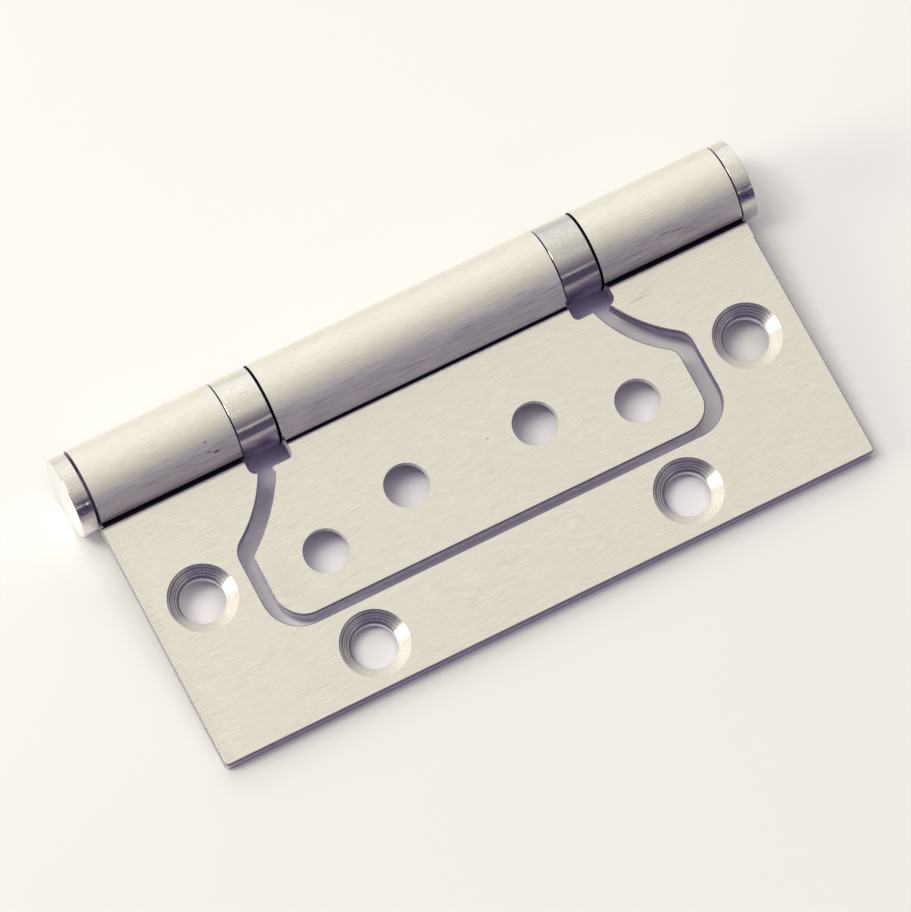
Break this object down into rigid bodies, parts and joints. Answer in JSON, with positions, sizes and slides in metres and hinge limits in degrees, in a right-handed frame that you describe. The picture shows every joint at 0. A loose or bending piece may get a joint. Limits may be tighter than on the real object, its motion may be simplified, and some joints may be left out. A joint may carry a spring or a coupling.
{
  "type": "ball bearing hinge",
  "caption": "Closed flush hinge with a slim leaf nested in the cut-out of a rectangular leaf, rolled knuckles, ball bearings between them and flat turned end caps on the barrel.",
  "frame": {"origin": "centre of the bounding box in plan, at the level of the underside of the barrel", "axes": "+X along the pin from the left to the right end cap as seen in the picture, +Y from the free edge of the outer leaf towards the barrel, +Z out of the face with the countersunk heads of the outer leaf; the leaves lie level"},
  "size_m": [0.1064, 0.0508, 0.012],
  "materials": {
    "brushed_sheet": "brushed along the barrel, satin",
    "polished_turned": "turned and polished",
    "pin_steel": "ground",
    "bearing_steel": "ground and polished",
    "cage_brass": "plain"
  },
  "bodies": {
    "outer_leaf_and_barrel": {"outer_leaf": "brushed_sheet", "hinge_pin": "pin_steel", "left_end_cap": "polished_turned", "right_end_cap": "polished_turned", "left_bearing_sleeve": "polished_turned", "left_fixed_race": "bearing_steel", "right_bearing_sleeve": "polished_turned", "right_fixed_race": "bearing_steel"},
    "inner_leaf_and_races": {"inner_leaf": "brushed_sheet", "left_moving_race": "bearing_steel", "right_moving_race": "bearing_steel"},
    "left_ball_ring": {"left_ball_cage": "cage_brass", "left_ball_01": "bearing_steel", "left_ball_02": "bearing_steel", "left_ball_03": "bearing_steel", "left_ball_04": "bearing_steel", "left_ball_05": "bearing_steel", "left_ball_06": "bearing_steel", "left_ball_07": "bearing_steel", "left_ball_08": "bearing_steel", "left_ball_09": "bearing_steel", "left_ball_10": "bearing_steel"},
    "right_ball_ring": {"right_ball_cage": "cage_brass", "right_ball_01": "bearing_steel", "right_ball_02": "bearing_steel", "right_ball_03": "bearing_steel", "right_ball_04": "bearing_steel", "right_ball_05": "bearing_steel", "right_ball_06": "bearing_steel", "right_ball_07": "bearing_steel", "right_ball_08": "bearing_steel", "right_ball_09": "bearing_steel", "right_ball_10": "bearing_steel"}
  },
  "joints": [
    {"name": "leaf_swing", "type": "hinge", "parent": "outer_leaf_and_barrel", "child": "inner_leaf_and_races", "pos_m": [0, 0.01937, 0.006], "axis": [-1, 0, 0], "range_deg": [0, 180]},
    {"name": "left_ball_ring_turn", "type": "hinge", "parent": "outer_leaf_and_barrel", "child": "left_ball_ring", "pos_m": [0, 0.01937, 0.006], "axis": [-1, 0, 0], "range_deg": [0, 90]},
    {"name": "right_ball_ring_turn", "type": "hinge", "parent": "outer_leaf_and_barrel", "child": "right_ball_ring", "pos_m": [0, 0.01937, 0.006], "axis": [-1, 0, 0], "range_deg": [0, 90]}
  ],
  "couplings": [
    {"joint": "left_ball_ring_turn", "follows": "leaf_swing", "ratio": 0.5},
    {"joint": "right_ball_ring_turn", "follows": "leaf_swing", "ratio": 0.5}
  ]
}
